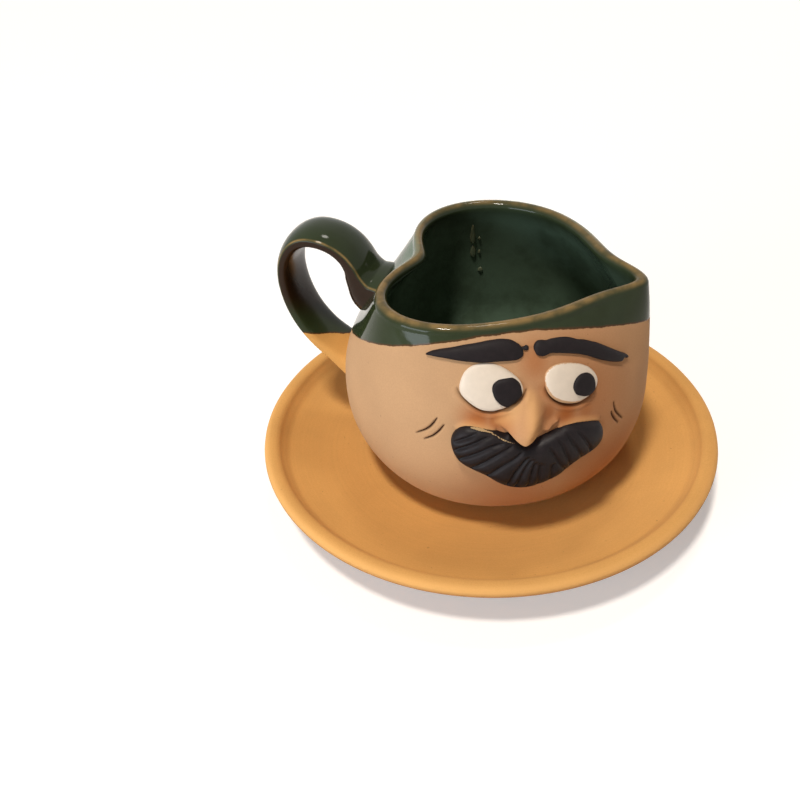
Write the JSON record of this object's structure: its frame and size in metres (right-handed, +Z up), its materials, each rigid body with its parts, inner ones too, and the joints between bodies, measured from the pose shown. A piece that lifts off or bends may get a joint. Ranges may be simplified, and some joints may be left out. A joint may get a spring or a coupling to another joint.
{
  "type": "espresso cup with saucer",
  "caption": "Clay cup with heart-shaped rim and spout, green glaze on its upper half and strap handle, and a modelled face with eyes, brows, nose and moustache, standing on a terracotta saucer",
  "frame": {"origin": "middle of the ring that the saucer stands on, on the table", "axes": "+Z up; +X the way the spout points, away from the handle; the face looks towards -Y and +X"},
  "size_m": [0.12, 0.12, 0.0665],
  "materials": {
    "terracotta": "matte",
    "bare_clay": "matte",
    "green_glaze": "gloss",
    "white_slip": "satin",
    "black_slip": "satin"
  },
  "bodies": {
    "saucer": {"saucer": "terracotta"},
    "cup": {"cup_body": "bare_clay", "handle": "green_glaze", "eye_handle_side": "white_slip", "eye_spout_side": "white_slip", "pupil_handle_side": "black_slip", "pupil_spout_side": "black_slip", "brow_handle_side": "black_slip", "brow_spout_side": "black_slip", "nose": "bare_clay", "moustache": "black_slip"}
  },
  "joints": [
    {"name": "cup_lift", "type": "slide", "parent": "saucer", "child": "cup", "axis": [0, 0, 1], "range_m": [0, 0.04]}
  ]
}
